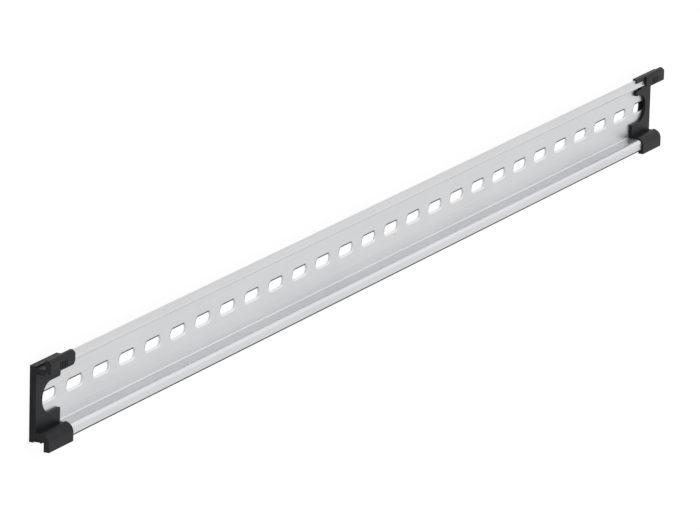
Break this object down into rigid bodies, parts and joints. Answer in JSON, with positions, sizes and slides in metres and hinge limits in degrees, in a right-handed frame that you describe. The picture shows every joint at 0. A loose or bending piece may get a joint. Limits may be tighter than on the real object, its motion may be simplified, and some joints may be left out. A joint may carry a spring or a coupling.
{
  "type": "din rail",
  "caption": "Slotted aluminium top-hat rail, 35 x 7.5 mm, with a black moulded clip-on holder at each end.",
  "frame": {"origin": "middle of the holders' resting plane, under the middle of the rail", "axes": "+X along the rail, +Y across it, +Z out of the open channel, away from the back"},
  "size_m": [0.54, 0.0371, 0.0094],
  "materials": {
    "rail_aluminium": "matte mill finish",
    "holder_plastic": "satin black moulded plastic"
  },
  "bodies": {
    "root": {"rail": "rail_aluminium", "end_holder_left": "holder_plastic", "end_holder_right": "holder_plastic"}
  },
  "joints": []
}
